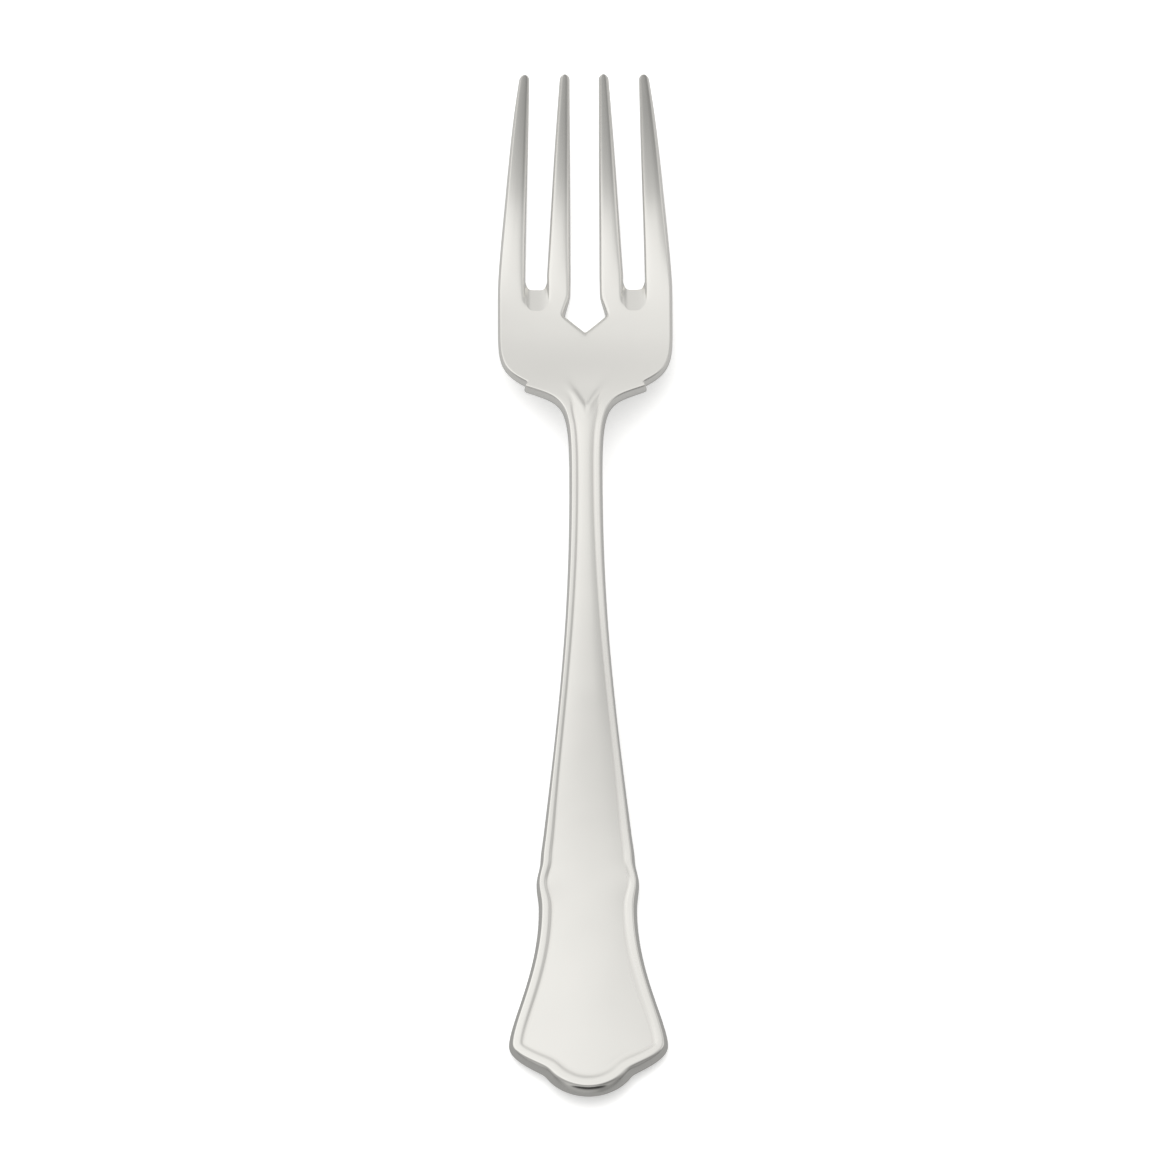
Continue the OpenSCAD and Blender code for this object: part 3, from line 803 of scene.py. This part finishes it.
def tineRows(top):
    tipRound = tineForm["tipRound"]
    angles = layout["tipAngles"]
    count = layout["tineRows"]
    steps = [(mix(tinePlace, total - tipRound, i / count), 1.0) for i in range(1, count + 1)]
    for a in angles:
        rise = math.sin(math.radians(a)) / math.sin(math.radians(angles[-1]))
        steps.append((total - tipRound * (1 - rise), math.cos(math.radians(a)) ** tineForm["tipBlunt"]))
    outerEdges = borderSteps[borderLast] * fork["threadWidthNeck"] + fork["edgeRound"]
    outerFull = tineForm["outerFull"] * outerEdges
    innerFull = tineForm["innerFull"] * 2 * fork["edgeRound"]
    right = Vector((1.0, 0.0))
    shares = tineForm["roundShare"]
    outer, inner = [], []
    for s, share in steps:
        low, high = narrowed(along(gapOutsideLine, s), outerSide(s), share)
        scale = min(1.0, (high - low) / outerFull)
        side = Vector((low, s)), right
        outer.append(outerRow(Vector((high, s)), side, shares, scale, 1.0, top))
        low, high = narrowed(halfMiddle, along(gapInsideLine, s), share)
        scale = min(1.0, (high - low) / innerFull)
        sides = (Vector((low, s)), right), (Vector((high, s)), -right)
        inner.append(innerRow(*sides, shares, shares, scale, 1.0, top))
    return outer, inner


# The half sheet is drawn out row by row: the last row is extruded and laid on its points
def selectedRow(mesh):
    bm = bmesh.from_edit_mesh(mesh)
    return sorted((v for v in bm.verts if v.select), key=lambda v: v.co.x)


def layRow(mesh, points):
    row = selectedRow(mesh)
    relief = bmesh.from_edit_mesh(mesh).verts.layers.float["relief"]
    for vertex, point in zip(row, points):
        vertex.co = point.xyz
        vertex[relief] = point.w
    bmesh.update_edit_mesh(mesh)
    return row


def drawOut(mesh, rows):
    for points in rows:
        bpy.ops.mesh.extrude_region_move(TRANSFORM_OT_translate={"value": (0, 0, 0)})
        row = layRow(mesh, points)
    return row


def selectRow(mesh, row):
    bpy.ops.mesh.select_all(action="DESELECT")
    bm = bmesh.from_edit_mesh(mesh)
    for a, b in zip(row, row[1:]):
        bm.edges.get((a, b)).select_set(True)
    bmesh.update_edit_mesh(mesh)


# Edges of the roots stay sharp: the ramps of the outer gaps and the point of the middle gap
sharpEdges = {
    "top": (0.9, 3.4),     # from an outer root to where its edges start to soften and are soft
    "back": (0.4, 2.3),
    "spade": (-1.0, 1.0),  # the same from the corner of the middle gap's point
    "offMiddle": 0.01,     # edges nearer to the middle line than this stay as they are
    "hard": 0.5,           # creases from here on are shaded as hard edges
}


def sharpenRoots(mesh, top):
    foot = gapFeet(top)[0]
    full, soft = sharpEdges["top" if top else "back"]
    spadeCorner = middleRoot + halfSpade
    spadeFull, spadeSoft = [spadeCorner + past for past in sharpEdges["spade"]]
    bm = bmesh.from_edit_mesh(mesh)
    crease = bm.edges.layers.float.new("crease_edge")
    for e in bm.edges:
        if not e.is_boundary:
            continue
        middle = sum((v.co for v in e.verts), Vector()) / 2 / mm
        s = middle.y + total / 2
        if abs(middle.x - gapOffset) < halfGap + fork["rootBevel"]:
            e[crease] = 1 - ease(foot + full, foot + soft, s)
        elif top and sharpEdges["offMiddle"] < middle.x < halfSpade and s < spadeSoft:
            e[crease] = 1 - ease(spadeFull, spadeSoft, s)
        e.smooth = e[crease] < sharpEdges["hard"]
    bmesh.update_edit_mesh(mesh)


def drawSheet(top):
    firstRow = sheetRow(0, top)
    bpy.ops.mesh.primitive_plane_add(size=mm)
    obj = bpy.context.object
    obj.name = "topSheet" if top else "backSheet"
    mesh = obj.data
    bpy.ops.object.mode_set(mode="EDIT")
    bpy.ops.mesh.select_mode(type="EDGE")
    bm = bmesh.from_edit_mesh(mesh)
    bm.verts.layers.float.new("relief")
    keep = min(bm.edges, key=lambda e: sum(v.co.y for v in e.verts))
    ends = list(keep.verts)
    bmesh.ops.delete(bm, geom=[v for v in bm.verts if v not in ends], context="VERTS")
    bmesh.update_edit_mesh(mesh)
    bpy.ops.mesh.select_all(action="SELECT")
    bpy.ops.mesh.subdivide(number_cuts=columnLast - 1)
    layRow(mesh, firstRow)
    palm = drawOut(mesh, [sheetRow(i, top) for i in range(1, rowLast + 1)])
    outer, inner = rootRows(top)
    outerTine, innerTine = tineRows(top)
    selectRow(mesh, palm[gapColumn:])
    drawOut(mesh, outer + outerTine)
    selectRow(mesh, palm[:gapColumn + 1])
    drawOut(mesh, inner + innerTine)
    sharpenRoots(mesh, top)
    bpy.ops.object.mode_set(mode="OBJECT")
    bpy.ops.object.select_all(action="DESELECT")
    print(obj.name, len(mesh.vertices), "points")
    return obj


topSheet = drawSheet(True)
backSheet = drawSheet(False)

# The two sheets become one half fork, and bridged edges make its sides
topSheet.select_set(True)
backSheet.select_set(True)
bpy.context.view_layer.objects.active = topSheet
bpy.ops.object.join()
forkPiece = topSheet
forkPiece.name = "silverFork"
bpy.ops.object.transform_apply(location=True, rotation=True, scale=True)
bpy.ops.object.mode_set(mode="EDIT")
bpy.ops.mesh.select_mode(type="EDGE")
bpy.ops.mesh.select_all(action="DESELECT")
bm = bmesh.from_edit_mesh(forkPiece.data)
middleLine = 1e-7  # points within this distance, in metres, lie on the middle line
for e in bm.edges:
    onMiddle = all(abs(v.co.x) < middleLine for v in e.verts)
    e.select_set(e.is_boundary and not onMiddle)
bmesh.update_edit_mesh(forkPiece.data)
bpy.ops.mesh.bridge_edge_loops(number_cuts=1, interpolation="LINEAR")
bpy.ops.mesh.select_all(action="SELECT")
bpy.ops.mesh.normals_make_consistent(inside=False)
bpy.ops.object.mode_set(mode="OBJECT")

# The left half is the mirror image of the right one
mergeDistance = 0.00001  # metres
bpy.ops.object.modifier_add(type="MIRROR")
mirror = forkPiece.modifiers[-1]
mirror.use_clip = True
mirror.merge_threshold = mergeDistance
bpy.ops.object.modifier_apply(modifier=mirror.name)
bpy.ops.object.modifier_add(type="SUBSURF")
smooth = forkPiece.modifiers[-1]
smooth.levels = 1
smooth.render_levels = 1
bpy.ops.object.modifier_apply(modifier=smooth.name)
bpy.ops.object.shade_smooth()
print("fork of", len(forkPiece.data.polygons), "faces")

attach(forkPiece, "root")
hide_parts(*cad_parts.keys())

# Polished silver: fine polishing lines along the fork, soft haze from handling, and painted shade that
# darkens the groove
silverFinish = {
    "color": (0.94, 0.93, 0.895, 1.0),
    # painted shade: the colour and amount by which the groove is tinted darker
    "paintedShadeColor": (0.45, 0.43, 0.39, 1.0),
    "paintedShadeAmount": 0.12,
    "roughness": (0.18, 0.27),
    "wear": 0.06,                # change of roughness from the crest to the groove
    "hazeScale": 55.0,
    "hazeDetail": 4.0,
    "hazeRange": (0.35, 0.7),
    "lineScale": (5200.0, 90.0, 5200.0),
    "lineDetail": 3.0,
    "lineStrength": 0.5,
    "lineHeight": 0.000003,
}
rangeSockets = ("From Min", "From Max", "To Min", "To Max")


def addNode(tree, kind, where, **values):
    node = tree.nodes.new(kind)
    node.location = where
    for name, value in values.items():
        setattr(node, name, value)
    return node


def setRange(node, limits):
    for name, value in zip(rangeSockets, limits):
        node.inputs[name].default_value = value


silver = bpy.data.materials.new("polishedSilver")
silver.use_nodes = True
silverTree = silver.node_tree
shader = silverTree.nodes["Principled BSDF"]
shader.inputs["Metallic"].default_value = 1.0
coords = addNode(silverTree, "ShaderNodeTexCoord", (-1200, 0))

# Painted shade: the groove beside the thread is tinted darker, by its relief mark
reliefMark = addNode(silverTree, "ShaderNodeAttribute", (-1100, 300), attribute_name="relief")
paintedGrooveShade = addNode(silverTree, "ShaderNodeMapRange", (-800, 400))
paintedGrooveShade.inputs["To Max"].default_value = silverFinish["paintedShadeAmount"]
shadeTint = addNode(silverTree, "ShaderNodeMix", (-400, 300), data_type="RGBA")
shadeTint.inputs["A"].default_value = silverFinish["color"]
shadeTint.inputs["B"].default_value = silverFinish["paintedShadeColor"]
silverTree.links.new(reliefMark.outputs["Fac"], paintedGrooveShade.inputs["Value"])
silverTree.links.new(paintedGrooveShade.outputs["Result"], shadeTint.inputs["Factor"])
silverTree.links.new(shadeTint.outputs["Result"], shader.inputs["Base Color"])

# Haze of handling, worn brighter on the crest of the thread and left dull in the groove
haze = addNode(silverTree, "ShaderNodeTexNoise", (-1000, 0))
haze.inputs["Scale"].default_value = silverFinish["hazeScale"]
haze.inputs["Detail"].default_value = silverFinish["hazeDetail"]
hazeRange = addNode(silverTree, "ShaderNodeMapRange", (-800, 0))
setRange(hazeRange, silverFinish["hazeRange"] + silverFinish["roughness"])
wear = addNode(silverTree, "ShaderNodeMath", (-500, 0), operation="MULTIPLY_ADD")
wear.inputs[1].default_value = silverFinish["wear"]
silverTree.links.new(coords.outputs["Object"], haze.inputs["Vector"])
silverTree.links.new(haze.outputs["Fac"], hazeRange.inputs["Value"])
silverTree.links.new(reliefMark.outputs["Fac"], wear.inputs[0])
silverTree.links.new(hazeRange.outputs["Result"], wear.inputs[2])
silverTree.links.new(wear.outputs[0], shader.inputs["Roughness"])

# Fine polishing lines
stretch = addNode(silverTree, "ShaderNodeMapping", (-900, -300))
stretch.inputs["Scale"].default_value = silverFinish["lineScale"]
lines = addNode(silverTree, "ShaderNodeTexNoise", (-650, -300))
lines.inputs["Scale"].default_value = 1.0
lines.inputs["Detail"].default_value = silverFinish["lineDetail"]
bump = addNode(silverTree, "ShaderNodeBump", (-350, -300))
bump.inputs["Strength"].default_value = silverFinish["lineStrength"]
bump.inputs["Distance"].default_value = silverFinish["lineHeight"]
silverTree.links.new(coords.outputs["Object"], stretch.inputs["Vector"])
silverTree.links.new(stretch.outputs["Vector"], lines.inputs["Vector"])
silverTree.links.new(lines.outputs["Fac"], bump.inputs["Height"])
silverTree.links.new(bump.outputs["Normal"], shader.inputs["Normal"])
forkPiece.data.materials.clear()
forkPiece.data.materials.append(silver)
print("silver finish made")

# Pale floor; in the metal's reflections it shows painted shade, darker than the camera sees it and graded
# along the fork
studioFloor = {
    "size": 3.0,
    "drop": 0.00003,
    "pale": (0.92, 0.92, 0.915, 1.0),
    "shadeSeenByMetal": (-0.1, 0.09, 0.225, 0.39),  # painted shade for reflections: from and to places along the fork, with their levels
    # the floor also glows evenly, which lightens the fork's shadow on it
    "glow": 0.45,
    "roughness": 0.9,
}
bpy.ops.object.select_all(action="DESELECT")
bpy.ops.mesh.primitive_plane_add(size=studioFloor["size"], location=(0, 0, -studioFloor["drop"]))
floor = bpy.context.object
floor.name = "paleFloor"
floorFinish = bpy.data.materials.new("paleFloor")
floorFinish.use_nodes = True
floorTree = floorFinish.node_tree
floorShader = floorTree.nodes["Principled BSDF"]
floorShader.inputs["Roughness"].default_value = studioFloor["roughness"]
floorShader.inputs["Specular IOR Level"].default_value = 0.0
rays = addNode(floorTree, "ShaderNodeLightPath", (-700, 0))
pale = addNode(floorTree, "ShaderNodeMix", (-400, 0), data_type="RGBA")
pale.inputs["A"].default_value = studioFloor["pale"]
floorCoords = addNode(floorTree, "ShaderNodeTexCoord", (-1300, -200))
floorAxes = addNode(floorTree, "ShaderNodeSeparateXYZ", (-1100, -200))
floorShadeLevel = addNode(floorTree, "ShaderNodeMapRange", (-900, -200))
setRange(floorShadeLevel, studioFloor["shadeSeenByMetal"])
floorTree.links.new(floorCoords.outputs["Object"], floorAxes.inputs[0])
floorTree.links.new(floorAxes.outputs["Y"], floorShadeLevel.inputs["Value"])
floorTree.links.new(floorShadeLevel.outputs["Result"], pale.inputs["B"])
floorTree.links.new(rays.outputs["Is Glossy Ray"], pale.inputs["Factor"])
floorTree.links.new(pale.outputs["Result"], floorShader.inputs["Base Color"])
floorTree.links.new(pale.outputs["Result"], floorShader.inputs["Emission Color"])
floorShader.inputs["Emission Strength"].default_value = studioFloor["glow"]
floor.data.materials.append(floorFinish)

# Camera at the photo's angle, far off with a long lens
view = {
    "elevation": 65.0,
    "roll": -0.26,
    "frameWidth": 189.7,    # millimetres, as are the distance and the target
    "distance": 8000.0,
    "target": (-0.23, 0.0, 5.4),
    "sensor": 36.0,
    "clip": (1.0, 60.0),    # metres
}
cameraData = bpy.data.cameras.new("camera")
camera = bpy.data.objects.new("camera", cameraData)
bpy.context.scene.collection.objects.link(camera)
bpy.context.scene.camera = camera
up = math.radians(view["elevation"])
target = Vector(view["target"]) * mm
camera.location = target + Vector((0, -math.cos(up), math.sin(up))) * view["distance"] * mm
turn = Matrix.Rotation(math.pi / 2 - up, 4, "X") @ Matrix.Rotation(math.radians(view["roll"]), 4, "Z")
camera.rotation_euler = turn.to_euler()
cameraData.sensor_width = view["sensor"]
cameraData.lens = cameraData.sensor_width * view["distance"] / view["frameWidth"]
cameraData.clip_start, cameraData.clip_end = view["clip"]

# Studio: a pale tent, brightest behind the fork, duller on the camera's side and on the right
studio = {
    "color": (1.0, 0.995, 0.985, 1.0),
    "horizon": (0.0, 0.3, 0.55, 1.0),  # from and to heights of the rise from the horizon, with its levels
    # levels from the camera's side to the far side, and from left to right
    "depth": [
        (-1.0, 0.6), (-0.8, 0.54), (-0.65, 0.47), (-0.48, 0.37), (-0.35, 0.33), (-0.15, 0.42), (0.03, 0.55),
        (0.15, 0.79), (0.26, 0.86), (0.42, 0.89), (0.6, 0.89), (0.8, 0.85), (0.93, 0.75), (1.0, 0.68),
    ],
    "across": [
        (-1.0, 1.12), (-0.5, 1.08), (0.0, 0.985), (0.2, 0.91), (0.45, 0.65), (0.65, 0.72), (1.0, 0.95),
    ],
    "rampScale": 1.25,
    # dark gear beside the camera, from its lower to its upper edge and in front of the fork
    "gear": {"low": (0.14, 0.27), "high": (0.49, 0.64), "front": (-0.81, -0.72), "level": 0.06},
    "floorLamp": 10.0,  # watts
    "floorLampSize": 1.5,
    "floorLampPlace": (-0.15, 0.1, 1.2),
}
world = bpy.data.worlds.new("studio")
bpy.context.scene.world = world
world.use_nodes = True
skyTree = world.node_tree
background = skyTree.nodes["Background"]
background.inputs["Color"].default_value = studio["color"]
sky = addNode(skyTree, "ShaderNodeTexCoord", (-1300, 0))
axes = addNode(skyTree, "ShaderNodeSeparateXYZ", (-1100, 0))
skyTree.links.new(sky.outputs["Generated"], axes.inputs[0])


def skyRange(axis, limits, kind, where):
    node = addNode(skyTree, "ShaderNodeMapRange", where, interpolation_type=kind)
    setRange(node, limits)
    skyTree.links.new(axes.outputs[axis], node.inputs["Value"])
    return node


def skyRamp(axis, levels, where):
    spot = skyRange(axis, (-1.0, 1.0, 0.0, 1.0), "LINEAR", where)
    ramp = addNode(skyTree, "ShaderNodeValToRGB", (where[0] + 250, where[1]))
    ramp.color_ramp.interpolation = "CARDINAL"
    stops = ramp.color_ramp.elements
    stops.remove(stops[1])
    for index, (side, level) in enumerate(levels):
        stop = stops.new((side + 1) / 2) if index else stops[0]
        stop.position = (side + 1) / 2
        stop.color = (level / studio["rampScale"],) * 3 + (1.0,)
    skyTree.links.new(spot.outputs["Result"], ramp.inputs["Fac"])
    return ramp


horizon = skyRange("Z", studio["horizon"], "SMOOTHSTEP", (-850, 0))
depth = skyRamp("Y", studio["depth"], (-850, 400))
across = skyRamp("X", studio["across"], (-850, -350))


def multiplied(sources, where):
    level = sources[0]
    for step, source in enumerate(sources[1:]):
        spot = (where[0] + 150 * step, where[1] - 150 * step)
        product = addNode(skyTree, "ShaderNodeMath", spot, operation="MULTIPLY")
        skyTree.links.new(level, product.inputs[0])
        skyTree.links.new(source, product.inputs[1])
        level = product.outputs[0]
    return level


gear = studio["gear"]
gearLow = skyRange("Z", gear["low"] + (0.0, 1.0), "SMOOTHSTEP", (-850, -700))
gearHigh = skyRange("Z", gear["high"] + (1.0, 0.0), "SMOOTHSTEP", (-850, -950))
gearFront = skyRange("Y", gear["front"] + (1.0, 0.0), "SMOOTHSTEP", (-850, -1200))
gearShare = multiplied([node.outputs["Result"] for node in (gearLow, gearHigh, gearFront)], (-600, -800))
dimmed = addNode(skyTree, "ShaderNodeMapRange", (-250, -800))
setRange(dimmed, (0.0, 1.0, 1.0, gear["level"]))
skyTree.links.new(gearShare, dimmed.inputs["Value"])
lights = [horizon.outputs["Result"], depth.outputs["Color"]]
lights += [across.outputs["Color"], dimmed.outputs["Result"]]
level = multiplied(lights, (-250, 200))
rescale = addNode(skyTree, "ShaderNodeMath", (150, 0), operation="MULTIPLY")
rescale.inputs[1].default_value = studio["rampScale"] ** 2
skyTree.links.new(level, rescale.inputs[0])

# The camera itself sees a plain pale tent
eye = addNode(skyTree, "ShaderNodeLightPath", (150, 300))
seen = addNode(skyTree, "ShaderNodeMix", (350, 100), data_type="FLOAT")
seen.inputs["B"].default_value = 1.0
skyTree.links.new(eye.outputs["Is Camera Ray"], seen.inputs["Factor"])
skyTree.links.new(rescale.outputs[0], seen.inputs["A"])
skyTree.links.new(seen.outputs["Result"], background.inputs["Strength"])

# A wide lamp for the floor alone
bpy.ops.object.light_add(type="AREA", location=studio["floorLampPlace"])
floorLamp = bpy.context.object
floorLamp.name = "floorLamp"
floorLamp.data.size = studio["floorLampSize"]
floorLamp.data.energy = studio["floorLamp"]
floorLamp.visible_glossy = False
bpy.context.scene.view_settings.view_transform = "Standard"
print("studio lit")
